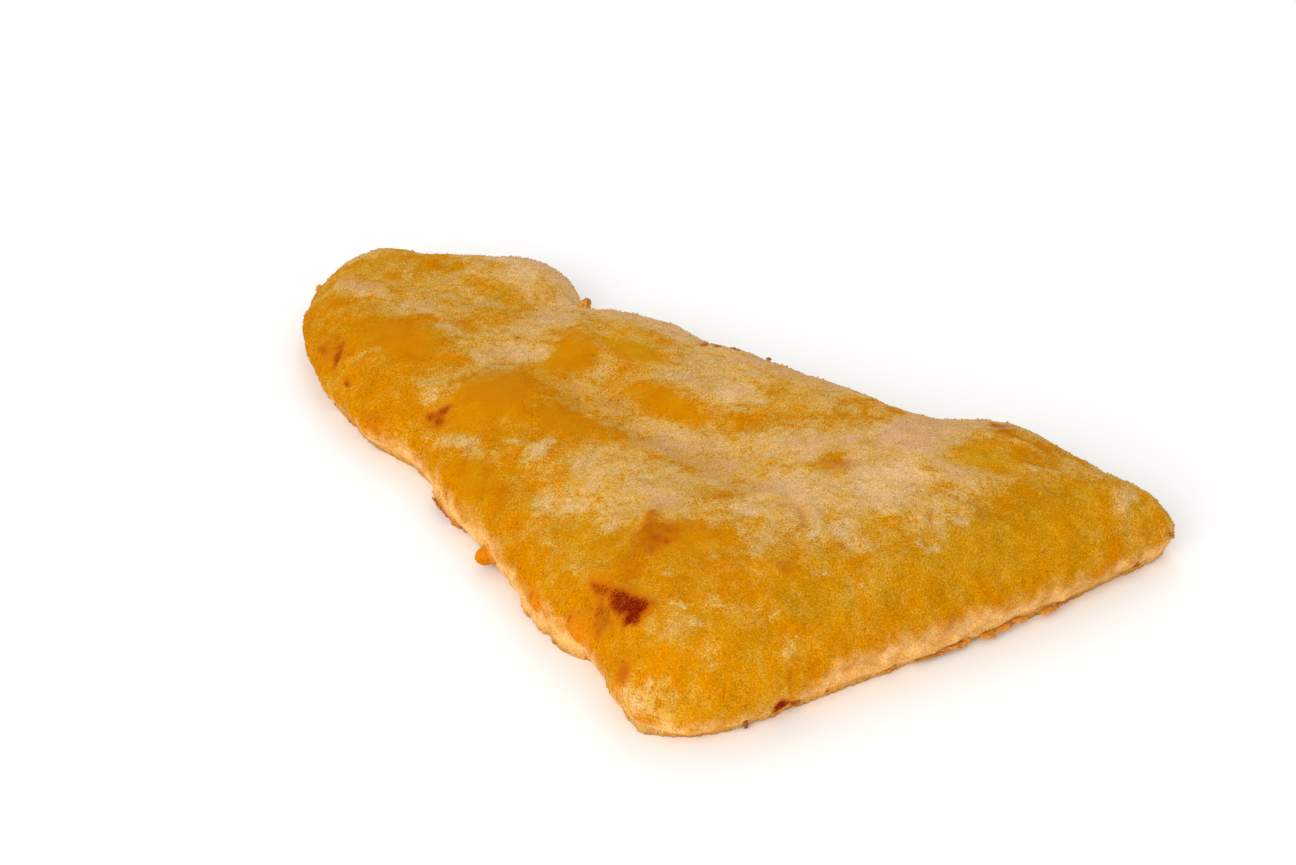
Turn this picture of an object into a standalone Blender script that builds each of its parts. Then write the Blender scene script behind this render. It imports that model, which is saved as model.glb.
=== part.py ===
"""A pan-fried fish fillet, flour-coated, lying flat: one solid piece.

The fillet is a slab cut to the fillet's outline, with a rounded rim. Its upper half is then raised
to the real height: thick at the wide loin end, thin at the tail, sloping down to the rim all
round, with the soft mounds and dips that frying leaves. It lies on a flat underside.

Frame: metres, +Z up, +X along the length from tail to loin end, origin under the middle of the
piece on the surface that it lies on.
"""

import math

import bmesh
import bpy
from mathutils import Vector
from mathutils.kdtree import KDTree

MM = 0.001

# Driving sizes
RIM_RADIUS = 4.2 * MM          # rounding of the rim, above and below its widest line
SLAB_HEIGHT = 9.0 * MM         # the slab before its top is raised
RIM_HEIGHT = 0.52              # height at the rim, as a share of the height well inside
SHOULDER_WIDTH = 21.0 * MM     # how far in from the rim the top keeps rising
SHOULDER_ROUNDNESS = 2.1       # 1 is a straight slope, larger is rounder
MESH_SIZE = 2.5 * MM           # spacing of the surface mesh
SMOOTH_PASSES = 4
SMOOTHING_LOSS = 0.3 * MM      # how far smoothing draws the rim in, made up in the outline
REST_BAND = 0.6 * MM           # what is this close to the underside becomes the flat rest face
OUTLINE_STEPS = 8              # points along the curve between two outline points

# Height of the top along the length, before the mounds: (x, height), in millimetres
SPINE_HEIGHTS = (
    (-95, 13.0),
    (-60, 13.6),
    (-25, 14.0),
    (10, 15.5),
    (45, 18.0),
    (75, 17.0),
    (95, 14.5),
)

# The outline at its widest, round by the back edge from the tail's tip, in millimetres
TAIL_END = ((-86.8, 8.8), (-92.4, 17), (-95.8, 29.5), (-94, 42))
TAIL_LOBE = ((-80.7, 47.3), (-69.5, 53), (-60, 58), (-49.8, 54.4), (-42, 47))
BACK_EDGE = ((-32, 49.3), (-22, 52.1), (-11, 48.5), (6, 49), (24, 47.4), (44, 45))
LOIN_CORNER = ((52.5, 52), (62, 53), (77, 49.3), (90.3, 48.7), (94.2, 43.5))
CUT_END = ((91.4, 36.3), (88, 26), (83.6, 13), (77, -2), (70.5, -17.3), (63.7, -32.3), (57.8, -45.2))
BELLY_CORNER = ((50.5, -53), (42, -55), (34, -50.3))
BELLY_EDGE = ((27, -45.4), (17, -42.9), (6, -37.8), (-6, -31.5), (-16, -27), (-27, -21.3), (-38, -15))
TAIL_FLANK = ((-50, -13.6), (-61.7, -8.5), (-75, -0.8))
OUTLINE = (
    TAIL_END + TAIL_LOBE + BACK_EDGE + LOIN_CORNER + CUT_END + BELLY_CORNER + BELLY_EDGE + TAIL_FLANK
)

# Mounds and dips of the top: name, centre x and y, half-length, half-width, turn in degrees from
# +X, height, in millimetres
RELIEF = (
    ("loin hump", 50, -8, 34, 26, 60, 2.6),
    ("loin plateau", 42, 22, 24, 14, 15, 0.9),
    ("loin corner mound", 61, 44, 9, 7, 0, 1.0),
    ("loin corner tip", 86, 38, 8, 8, 0, 1.2),
    ("saddle before the tip", 75, 34, 6, 15, 0, -1.3),
    ("middle crease", 8, 7, 26, 6, -16, -1.9),
    ("back mound", -23, 26, 14, 12, 0, 1.6),
    ("middle mound", 0, 18, 12, 7, -10, 1.5),
    ("flank mound", -26, -3, 14, 9, -15, 1.5),
    ("flank dip", -40, 4, 5, 14, -30, -0.8),
    ("tail mound", -55, 6, 13, 9, -35, 1.3),
    ("tail dip", -64, 29, 20, 10, 12, -1.2),
    ("notch hollow", -42, 38, 8, 10, 30, -1.4),
    ("belly ridge", 26, -24, 17, 6, -64, 1.4),
    ("belly hollow", 6, -24, 13, 9, -30, -1.2),
)


def clear_scene():
    for obj in list(bpy.data.objects):
        bpy.data.objects.remove(obj, do_unlink=True)


def outline_curve():
    """The outline as a closed 2D curve, filled and given a rounded rim."""
    curve = bpy.data.curves.new("outline", "CURVE")
    curve.dimensions = "2D"
    curve.fill_mode = "BOTH"
    curve.resolution_u = OUTLINE_STEPS
    curve.extrude = SLAB_HEIGHT / 2 - RIM_RADIUS
    curve.bevel_depth = RIM_RADIUS
    curve.bevel_resolution = 4
    curve.offset = SMOOTHING_LOSS - RIM_RADIUS
    spline = curve.splines.new("BEZIER")
    spline.use_cyclic_u = True
    spline.bezier_points.add(len(OUTLINE) - 1)
    for point, (x, y) in zip(spline.bezier_points, OUTLINE):
        point.co = (x * MM, y * MM, SLAB_HEIGHT / 2)
        point.handle_left_type = point.handle_right_type = "AUTO"
    return curve


def evaluated_mesh(obj, name):
    """The object's mesh with its modifiers applied."""
    graph = bpy.context.evaluated_depsgraph_get()
    mesh = bpy.data.meshes.new_from_object(obj.evaluated_get(graph), depsgraph=graph)
    mesh.name = name
    return mesh


def slab_mesh():
    """The filled outline as one closed mesh with even faces."""
    flat = bpy.data.objects.new("outline", outline_curve())
    bpy.context.scene.collection.objects.link(flat)
    bpy.context.view_layer.update()
    mesh = evaluated_mesh(flat, "slab")
    bpy.data.objects.remove(flat)
    bm = bmesh.new()
    bm.from_mesh(mesh)
    bmesh.ops.remove_doubles(bm, verts=bm.verts, dist=0.01 * MM)
    bmesh.ops.recalc_face_normals(bm, faces=bm.faces)
    bmesh.ops.translate(bm, verts=bm.verts, vec=(0, 0, -min(v.co.z for v in bm.verts)))
    bm.to_mesh(mesh)
    bm.free()
    slab = bpy.data.objects.new("slab", mesh)
    bpy.context.scene.collection.objects.link(slab)
    remesh = slab.modifiers.new("even faces", "REMESH")
    remesh.mode = "VOXEL"
    remesh.voxel_size = MESH_SIZE
    even = evaluated_mesh(slab, "fillet")
    bpy.data.objects.remove(slab)
    return even


def rim_tree():
    """A search tree of points along the outline, to find how far a place is from the rim."""
    count = len(OUTLINE)
    tree = KDTree(count * OUTLINE_STEPS)
    for i in range(count):
        start, end = Vector(OUTLINE[i]), Vector(OUTLINE[(i + 1) % count])
        for step in range(OUTLINE_STEPS):
            place = start.lerp(end, step / OUTLINE_STEPS) * MM
            tree.insert(place.to_3d(), i * OUTLINE_STEPS + step)
    tree.balance()
    return tree


def spine_height(x):
    """Height of the top at station x, eased between the stations on either side."""
    stations = [(place * MM, height * MM) for place, height in SPINE_HEIGHTS]
    if x <= stations[0][0]:
        return stations[0][1]
    for (x0, h0), (x1, h1) in zip(stations, stations[1:]):
        if x <= x1:
            share = (x - x0) / (x1 - x0)
            return h0 + (h1 - h0) * share * share * (3 - 2 * share)
    return stations[-1][1]


def relief_height(x, y):
    """Sum of the mounds and dips at a place, each a smooth bell."""
    total = 0.0
    for _, cx, cy, half_length, half_width, turn, height in RELIEF:
        angle = math.radians(turn)
        dx, dy = x / MM - cx, y / MM - cy
        along = (dx * math.cos(angle) + dy * math.sin(angle)) / half_length
        across = (dy * math.cos(angle) - dx * math.sin(angle)) / half_width
        total += height * MM * math.exp(-(along * along + across * across))
    return total


def top_height(x, y, rim_distance):
    """Height of the top at a place: full well inside, sloping down over the shoulder to the rim."""
    reach = 1 - min(rim_distance / SHOULDER_WIDTH, 1.0)
    shoulder = (1 - reach**SHOULDER_ROUNDNESS) ** (1 / SHOULDER_ROUNDNESS)
    share = RIM_HEIGHT + (1 - RIM_HEIGHT) * shoulder
    return spine_height(x) * share + relief_height(x, y) * shoulder


def raise_top(mesh):
    """Raises the slab's upper half to the fillet's height. The lower half keeps its rounding."""
    tree = rim_tree()
    middle = SLAB_HEIGHT / 2
    for vertex in mesh.vertices:
        x, y, z = vertex.co
        if z > middle:
            _, _, rim_distance = tree.find(Vector((x, y, 0)))
            stretch = (top_height(x, y, rim_distance) - middle) / (SLAB_HEIGHT - middle)
            vertex.co.z = middle + (z - middle) * stretch


def smooth(mesh, passes):
    bm = bmesh.new()
    bm.from_mesh(mesh)
    for _ in range(passes):
        bmesh.ops.smooth_vert(
            bm, verts=bm.verts, factor=0.5, use_axis_x=True, use_axis_y=True, use_axis_z=True
        )
    bm.to_mesh(mesh)
    bm.free()


def set_on_rest_face(mesh):
    """Makes the underside flat at height 0 and puts the middle of the piece over the origin."""
    low = min(v.co.z for v in mesh.vertices)
    for vertex in mesh.vertices:
        height = vertex.co.z - low
        vertex.co.z = 0.0 if height < REST_BAND else height
    xs = [v.co.x for v in mesh.vertices]
    ys = [v.co.y for v in mesh.vertices]
    middle = Vector(((min(xs) + max(xs)) / 2, (min(ys) + max(ys)) / 2, 0))
    for vertex in mesh.vertices:
        vertex.co -= middle


def coating_material():
    """Fried flour coating: golden, matt with a little oil on it."""
    material = bpy.data.materials.new("fried_coating")
    material.use_nodes = True
    shader = material.node_tree.nodes["Principled BSDF"]
    shader.inputs["Base Color"].default_value = (0.62, 0.30, 0.05, 1)
    shader.inputs["Roughness"].default_value = 0.55
    shader.inputs["Metallic"].default_value = 0.0
    return material


def main():
    clear_scene()
    fillets = bpy.data.collections.new("fried fish fillet")
    bpy.context.scene.collection.children.link(fillets)
    mesh = slab_mesh()
    raise_top(mesh)
    smooth(mesh, SMOOTH_PASSES)
    set_on_rest_face(mesh)
    mesh.shade_smooth()
    mesh.materials.append(coating_material())
    fillets.objects.link(bpy.data.objects.new("fillet", mesh))


main()
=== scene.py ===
"""The looks of a fried fish fillet: a loin-to-tail piece in a floured coating, fried golden."""

import math
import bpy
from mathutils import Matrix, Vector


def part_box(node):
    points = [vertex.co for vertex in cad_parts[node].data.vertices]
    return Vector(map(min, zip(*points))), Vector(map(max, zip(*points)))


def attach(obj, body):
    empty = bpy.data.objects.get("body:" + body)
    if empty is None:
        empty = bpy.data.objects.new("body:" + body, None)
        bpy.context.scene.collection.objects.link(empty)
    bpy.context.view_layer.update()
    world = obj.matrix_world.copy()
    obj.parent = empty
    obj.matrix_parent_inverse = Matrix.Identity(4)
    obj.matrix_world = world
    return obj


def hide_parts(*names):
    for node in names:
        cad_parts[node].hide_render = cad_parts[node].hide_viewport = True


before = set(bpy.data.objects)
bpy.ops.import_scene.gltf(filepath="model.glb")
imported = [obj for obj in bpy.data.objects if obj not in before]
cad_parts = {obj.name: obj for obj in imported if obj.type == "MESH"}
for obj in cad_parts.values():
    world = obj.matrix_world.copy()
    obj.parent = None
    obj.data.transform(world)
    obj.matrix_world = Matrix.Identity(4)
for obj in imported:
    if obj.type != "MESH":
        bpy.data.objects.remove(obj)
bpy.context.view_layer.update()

from types import SimpleNamespace

import bmesh
import bpy
import numpy as np
from mathutils import Matrix, Vector, noise

# --------------------------------------------------------------------
# Camera: a long lens looking down over the belly edge, with the tail to the left and the cut
# end to the right.
# --------------------------------------------------------------------
MM = 0.001
LENS = 75.0
CAMERA_AZIMUTH = math.radians(35.5)
CAMERA_ELEVATION = math.radians(32.0)
CAMERA_DISTANCE = 530.5 * MM
AIM_FROM_MIDDLE = Vector((-9.0, 23.1, 0.0)) * MM

fillet_low, fillet_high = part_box("fillet")
middle = (fillet_low + fillet_high) / 2
table_height = fillet_low.z


def place_camera():
    toward_camera = Vector(
        (
            math.sin(CAMERA_AZIMUTH) * math.cos(CAMERA_ELEVATION),
            -math.cos(CAMERA_AZIMUTH) * math.cos(CAMERA_ELEVATION),
            math.sin(CAMERA_ELEVATION),
        )
    )
    aim = Vector((middle.x, middle.y, table_height)) + AIM_FROM_MIDDLE
    camera = bpy.data.objects.new("camera", bpy.data.cameras.new("camera"))
    bpy.context.scene.collection.objects.link(camera)
    camera.data.lens = LENS
    camera.data.clip_start = 10 * MM
    camera.location = aim + toward_camera * CAMERA_DISTANCE
    camera.rotation_euler = (-toward_camera).to_track_quat("-Z", "Y").to_euler()
    bpy.context.scene.camera = camera


place_camera()

# --------------------------------------------------------------------
# Table and light: a plain white table under an even white sky, with a broad soft light in front
# of the belly edge and a fainter one behind the back edge.
# --------------------------------------------------------------------
TABLE_SIZE = 20.0
TABLE_WHITE = "#fdfdfb"
SKY_STRENGTH = 0.72
# Where each light hangs, how wide it is, in metres, and its power in watts
FRONT_LIGHT = (Vector((0.16, -1.15, 0.62)), 1.1, 11.5)
BACK_LIGHT = (Vector((-0.50, 0.90, 1.00)), 0.9, 3.2)


def linear(hex_code):
    """A colour's sRGB hex value as the linear RGBA that shaders use."""
    channels = [int(hex_code[i : i + 2], 16) / 255 for i in (1, 3, 5)]
    return [c / 12.92 if c <= 0.04045 else ((c + 0.055) / 1.055) ** 2.4 for c in channels] + [1.0]


def add_node(material, kind, settings, links):
    """Adds a node. Settings are its own; links give each input a socket to follow or a value."""
    made = material.node_tree.nodes.new(kind)
    for name, value in settings.items():
        setattr(made, name, value)
    for name, source in links.items():
        if isinstance(source, bpy.types.NodeSocket):
            material.node_tree.links.new(source, made.inputs[name])
        else:
            made.inputs[name].default_value = source
    return made


def lay_table():
    bm = bmesh.new()
    bmesh.ops.create_grid(bm, x_segments=1, y_segments=1, size=TABLE_SIZE / 2)
    bmesh.ops.translate(bm, verts=bm.verts, vec=(0, 0, table_height))
    mesh = bpy.data.meshes.new("table")
    bm.to_mesh(mesh)
    bm.free()
    table = bpy.data.objects.new("table", mesh)
    bpy.context.scene.collection.objects.link(table)
    paint = bpy.data.materials.new("matt_white_paint")
    paint.use_nodes = True
    shader = paint.node_tree.nodes["Principled BSDF"]
    shader.inputs["Base Color"].default_value = linear(TABLE_WHITE)
    shader.inputs["Roughness"].default_value = 0.9
    shader.inputs["Specular IOR Level"].default_value = 0.0
    mesh.materials.append(paint)


def hang_light(name, place, size, watts):
    light = bpy.data.objects.new(name, bpy.data.lights.new(name, "AREA"))
    bpy.context.scene.collection.objects.link(light)
    light.data.shape = "DISK"
    light.data.size = size
    light.data.energy = watts
    light.location = place
    light.rotation_euler = (middle - place).to_track_quat("-Z", "Y").to_euler()


def light_sky():
    sky = bpy.data.worlds.new("studio")
    sky.use_nodes = True
    background = sky.node_tree.nodes["Background"]
    background.inputs["Color"].default_value = (1.0, 1.0, 1.0, 1.0)
    background.inputs["Strength"].default_value = SKY_STRENGTH
    bpy.context.scene.world = sky


lay_table()
light_sky()
hang_light("back_light", *BACK_LIGHT)
hang_light("front_light", *FRONT_LIGHT)
bpy.context.scene.view_settings.view_transform = "Standard"

# --------------------------------------------------------------------
# Coating: the floured crust, fried on in one skin over the whole fillet. It is golden where the
# fat soaked in, pale and dusty where flour stayed on, and dark where the pan caught it. Beads of
# it ran down the belly edge and set there.
# --------------------------------------------------------------------
SKIN_MESH = 0.53 * MM
SKIN_SMOOTHING = 5
MERGE_DISTANCE = 0.001 * MM

# The z of the skin's normals where each side begins and where it is full
UPPER_SIDE = (-0.5, 0.2)
UNDERSIDE = (-0.6, -0.95)
WALL_OVER_UNDERSIDE = (-0.95, -0.6)
WALL_UNDER_TOP = (0.95, 0.6)

# Faces whose normals have less z than this face straight down
FACING_DOWN = -0.98

# The underside: the share of its faces that stays, and its low bumps and hollows, in mm
UNDERSIDE_FACES_KEPT = 0.14
UNDERSIDE_BUMP = 0.4
UNDERSIDE_BUMP_SIZE = 2.4
UNDERSIDE_SEED = 31
UNDERSIDE_HOLLOW = 0.35

# Colours of the coating
GOLD = "#c67a00"
YELLOW_GOLD = "#c58c0a"
DAMP_FLOUR = "#ca983e"
DRY_FLOUR = "#d7b17d"
ROSY_FLOUR = "#ca9569"
PALE_WALL = "#e7b16a"
AMBER = "#d07a0e"
TAN = "#b35a08"
BURNT = "#6e0c05"

# Clots of flour and its grains: their size, the depth of the grains' bumps, and how far each
# lightens and darkens the colour
CLOT_SIZE = 1.2 * MM
GRAIN_SIZE = 0.3 * MM
GRAIN_DEPTH = 0.08 * MM
CLOT_SHADE = 0.08
GRAIN_SHADE = 0.75

# Beads of batter: name, x, y, z, half-length, half-width, half-height, turn and how amber, in mm
# and degrees
BEADS = (
    ("hanging bead", -5.5, -32.7, 3.2, 2.0, 1.9, 1.8, -115, 1.0),
    ("neck of the bead", -4.5, -31.1, 3.4, 1.9, 2.1, 1.9, -115, 0.9),
    ("flat bead", 8.6, -38.8, 2.2, 1.8, 0.9, 1.2, -30, 0.2),
    ("flap by the blister", 13.0, -40.8, 1.8, 3.2, 0.9, 1.2, -28, 0.2),
    ("blister", 12.9, -41.2, 6.0, 1.9, 1.4, 1.6, -30, 1.0),
    ("lobe by the corner", 21.2, -43.6, 2.2, 4.2, 1.2, 1.4, -10, 0.1),
    ("lobe tip", 17.6, -42.8, 2.8, 1.3, 0.9, 1.3, -30, 0.5),
    ("lump over the lobe", 24.6, -44.8, 7.0, 2.4, 1.5, 2.3, -18, 1.0),
    ("thin lip", -22.4, -23.2, 2.0, 4.6, 0.9, 0.7, -27, 0.6),
    ("thin lip end", -26.4, -21.0, 2.4, 1.6, 0.8, 0.7, -27, 0.5),
)
# Where a bead's amber fades out, as a squared share of its half-sizes, and the height in mm up to
# which its underside lies on the table
BEAD_EDGE = 1.6
BEAD_SEAT = 1.2

# Folds in the coating, ridges and creases, from one end to the other: name, x, y, x, y,
# half-width, height, flour caught on it and browning
FOLDS = (
    ("waist valley", -39.0, 36.0, -35.0, 14.0, 6.0, -0.5, 0.0, 0.0),
    ("long crease", -34.0, 10.5, 4.0, 4.5, 4.0, -0.4, 0.0, 0.0),
    ("long crease end", 4.0, 4.5, 34.0, -4.0, 4.0, -0.4, 0.0, 0.0),
    ("orange ridge", 24.0, -21.5, 27.4, -28.0, 1.3, 0.5, 0.0, 0.46),
    ("orange ridge foot", 27.4, -28.0, 29.0, -36.0, 2.2, 0.4, 0.0, 0.32),
    ("beside the orange ridge", 20.5, -25.0, 24.0, -36.0, 1.8, -0.4, 0.0, 0.0),
    ("arc fold", 46.0, -8.5, 49.4, -12.0, 0.8, -0.4, 0.0, 0.3),
    ("arc fold foot", 49.4, -12.0, 49.6, -17.5, 0.8, -0.4, 0.0, 0.28),
    ("dust over the arc fold", 47.2, -6.4, 51.0, -10.6, 1.0, 0.35, 0.8, 0.0),
    ("dust on the arc fold", 51.0, -10.6, 52.6, -14.5, 1.0, 0.35, 0.9, 0.0),
    ("short fold", 63.9, 6.4, 65.4, 3.0, 0.6, -0.45, 0.0, 0.34),
    ("dust by the short fold", 66.4, 6.6, 70.0, 7.8, 0.9, 0.2, 0.6, 0.0),
    ("ring left", 65.6, -0.4, 66.2, -2.8, 0.6, 0.3, 0.45, 0.0),
    ("ring foot", 66.2, -2.8, 68.6, -3.2, 0.6, 0.3, 0.45, 0.0),
    ("ring right", 68.6, -3.2, 69.4, -0.6, 0.6, 0.3, 0.4, 0.0),
    ("belly crease one", -8.4, -23.0, -6.6, -29.4, 1.0, -0.4, 0.0, 0.26),
    ("belly crease two", -1.8, -26.0, 0.3, -31.5, 0.9, -0.35, 0.0, 0.2),
    ("belly crease three", -14.0, -20.5, -12.0, -26.0, 0.9, -0.35, 0.0, 0.2),
    ("belly crease four", -22.0, -15.5, -19.5, -21.5, 0.9, -0.35, 0.0, 0.24),
    ("belly crease five", 6.0, -30.5, 9.5, -36.0, 0.9, -0.35, 0.0, 0.18),
    ("belly crease six", -29.0, -13.0, -31.0, -17.5, 0.9, -0.3, 0.0, 0.2),
    ("belly fold", -17.0, -17.0, -15.0, -24.5, 1.1, 0.3, 0.0, 0.0),
    ("belly fold end", 2.5, -27.5, 5.5, -33.5, 1.1, 0.3, 0.0, 0.0),
    ("corner ridge one", 64.0, 36.8, 69.5, 37.6, 0.9, 0.35, 0.34, 0.0),
    ("corner crease one", 62.5, 38.4, 66.0, 39.2, 0.8, -0.3, 0.0, 0.3),
    ("corner ridge two", 70.0, 31.0, 77.0, 36.0, 1.0, 0.35, 0.32, 0.0),
    ("slope ridge", 62.0, 8.0, 68.5, 11.5, 1.1, 0.3, 0.34, 0.0),
    ("slope crease", 71.0, 13.0, 74.5, 16.5, 1.2, -0.3, 0.0, 0.16),
    ("slope crease two", 78.5, 24.0, 75.5, 28.5, 1.3, -0.3, 0.0, 0.2),
    ("plateau crease", 29.0, 3.0, 36.0, 6.0, 1.2, -0.25, 0.0, 0.1),
    ("tail crease", -50.0, 1.5, -42.0, 4.5, 1.4, -0.3, 0.0, 0.08),
    ("tail ridge", -82.0, 19.0, -66.0, 21.0, 2.0, 0.3, 0.0, 0.0),
)

# Relief over the skin: bump size and height in mm, and how far an oily patch smooths it away
RELIEF = (
    ("lumps", 17.0, 0.55, 0.0),
    ("swells", 7.5, 0.50, 0.2),
    ("wrinkles", 3.2, 0.28, 0.6),
    ("crumble", 1.4, 0.13, 0.9),
)
DUST_THICKNESS = 0.12
# How deep scorched coating sinks, in mm, and the browning where it starts to and has sunk
SCORCH_DEPTH = 0.3
SCORCH_SINKS = (0.45, 0.9)
# The relief that there is room for at the crown, in mm, and for each mm below it
ROOM_AT_CROWN = 0.3
ROOM_BELOW_CROWN = 0.6

# Noise that breaks up the coating: size in mm and seed
DRIFT = ((7.0, 11), (7.0, 13))
FEATHER = ((2.4, 12), (2.4, 14))
CLOUDS = (6.5, 21)
CLUMPS = (2.8, 22)
GRIT = (1.3, 23)
WIDE_SHADE = (4.5, 24)
FINE_SHADE = (1.8, 25)

# How far the drift and the feather push patches and spots out of shape, in mm
PATCH_DRIFT = 2.0
PATCH_FEATHER = 1.0
SPOT_DRIFT = 0.3
SPOT_FEATHER = 0.5
DAB_FEATHER = 0.7
BROWN_FEATHER = 0.6
SCORCH_GRIT = 0.35

# How sharp the edges of patches and of scorched spots are
PATCH_EDGE = 1.5
SCORCH_EDGE = 1.6

# Zones of the coating seen from above. Each table has the columns name, x, y, half-length,
# half-width, turn and strength, in mm and degrees.

# Where dry flour stayed on
DUSTY = (
    # back edge: flour, with a painted sheen of the light from behind, pale all along the far edge
    ("back edge", 5, 54, 100, 20.5, 0, 1.06),
    ("tail lobe", -60, 49, 22, 12, 6, 1.05),
    ("tail end", -94, 34, 6, 12, 0, 0.8),
    ("tail field", -64, 27, 30, 16, 0, 0.31),
    ("tail streak", -78, 19, 10, 3.0, -4, 0.62),
    ("tail spot", -54, 28, 5, 3, 0, 0.6),
    ("tail dust", -62, 17, 7, 5, 20, 0.55),
    ("tail dab", -51, 13, 6, 2.5, -10, 0.6),
    ("notch dust", -38, 34, 8, 14, 0, 0.66),
    ("waist", -37, 15, 9, 16, 0, 0.46),
    ("flank dab", -38.5, -5, 5, 4, 0, 0.36),
    ("middle field", 2, 28, 36, 14, 0, 0.49),
    ("crease dust", -12, 9, 18, 5, -14, 0.28),
    ("back dust left", 0, 27, 5, 9, 0, 0.6),
    ("back dust right", 11, 24, 5, 8, -30, 0.72),
    ("crease bottom", 15, 4, 18, 6, -4, 0.6),
    ("loin field", 40, 4, 24, 26, 0, 0.54),
    ("loin plateau", 54, 8, 8, 11, -12, 0.9),
    ("plateau arm", 38, 15, 13, 4.5, 24, 0.8),
    ("plateau near lobe", 40, -4, 9, 4.5, -8, 0.92),
    ("crest", 49, 29, 8, 15, 0, 0.95),
    ("corner dust", 61, 20, 8, 3.5, 8, 0.7),
    ("near field", 15, -14, 20, 12, -10, 0.48),
    ("near dab one", 22, -16, 6, 4, -10, 0.8),
    ("near dab two", -8, -12, 2.2, 4, 10, 0.7),
    ("near dab three", 9, -13.5, 6, 3, -6, 0.62),
    ("near dab four", 17, -24, 3, 6, 10, 0.56),
    ("near dab five", 6, -24, 6, 3, -8, 0.6),
    ("near dab six", 38, -14, 5, 3, 0, 0.7),
    ("near dab seven", 55, -9, 6, 4, -20, 0.7),
    ("waist crease", -34, 13.5, 7, 3.4, 20, 0.75),
    ("tip crescent", 86.5, 38, 2.4, 5, 10, 0.7),
    ("corner rim", 72, 47, 18, 4.0, -4, 0.85),
    ("flank streak", -24, -16, 9, 2.4, -12, 0.4),
    ("waist dab", -38, 8, 5, 3, 0, 0.6),
    ("mid loin right", 65, 10, 6, 14, -10, 0.42),
    ("near corner", 44, -45, 6, 4, -10, 0.22),
    ("near corner rim", 44, -56, 10, 2.4, 10, 0.34),
    ("front middle", 50, -37, 4, 2.4, 0, 0.26),
    ("over the cut", 61, -34, 3, 1.6, 50, 0.26),
)

# Small dabs of flour lying over the gold
DABS = (
    ("front dab one", 38.0, -35.5, 1.6, 1.1, 20, 0.37),
    ("front dab two", 43.8, -41.0, 2.2, 1.2, 15, 0.41),
    ("front dab three", 47.6, -43.2, 1.4, 1.0, 0, 0.37),
    ("front dab four", 50.2, -39.0, 1.1, 0.9, 0, 0.37),
    ("front dab five", 55.5, -35.0, 3.2, 1.6, 60, 0.25),
    ("front dab six", 52.5, -46.5, 2.2, 1.6, 30, 0.25),
    ("front dab seven", 58.4, -20.4, 1.6, 1.2, 20, 0.3),
    ("front dab eight", 64.5, -17.6, 2.0, 1.0, 50, 0.3),
    ("front dab nine", 46.5, -24.0, 2.4, 2.0, 0, 0.30),
    ("front dab ten", 54.0, -15.0, 2.4, 1.2, -20, 0.30),
    ("front dab eleven", 41.5, -29.0, 2.6, 1.1, -10, 0.22),
    ("tip dab", 86.5, 37.5, 3.4, 1.6, 28, 0.4),
    ("belly dab one", -29.5, -15.5, 3.4, 1.3, -14, 0.30),
    ("belly dab two", 4.5, -31.0, 2.2, 1.6, 0, 0.30),
    ("belly dab three", 11.0, -34.0, 2.2, 1.2, -20, 0.25),
    ("belly dab four", 19.0, -38.0, 1.8, 1.0, -20, 0.25),
    ("flank dab", -38.5, -6.0, 3.0, 2.6, 30, 0.37),
    ("flank edge dab", -13.5, -12.5, 2.0, 1.0, 30, 0.30),
    ("tail dab one", -73.0, 15.5, 4.0, 1.6, 10, 0.30),
    ("tail dab two", -59.0, -1.0, 3.0, 2.0, 40, 0.16),
)

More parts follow.
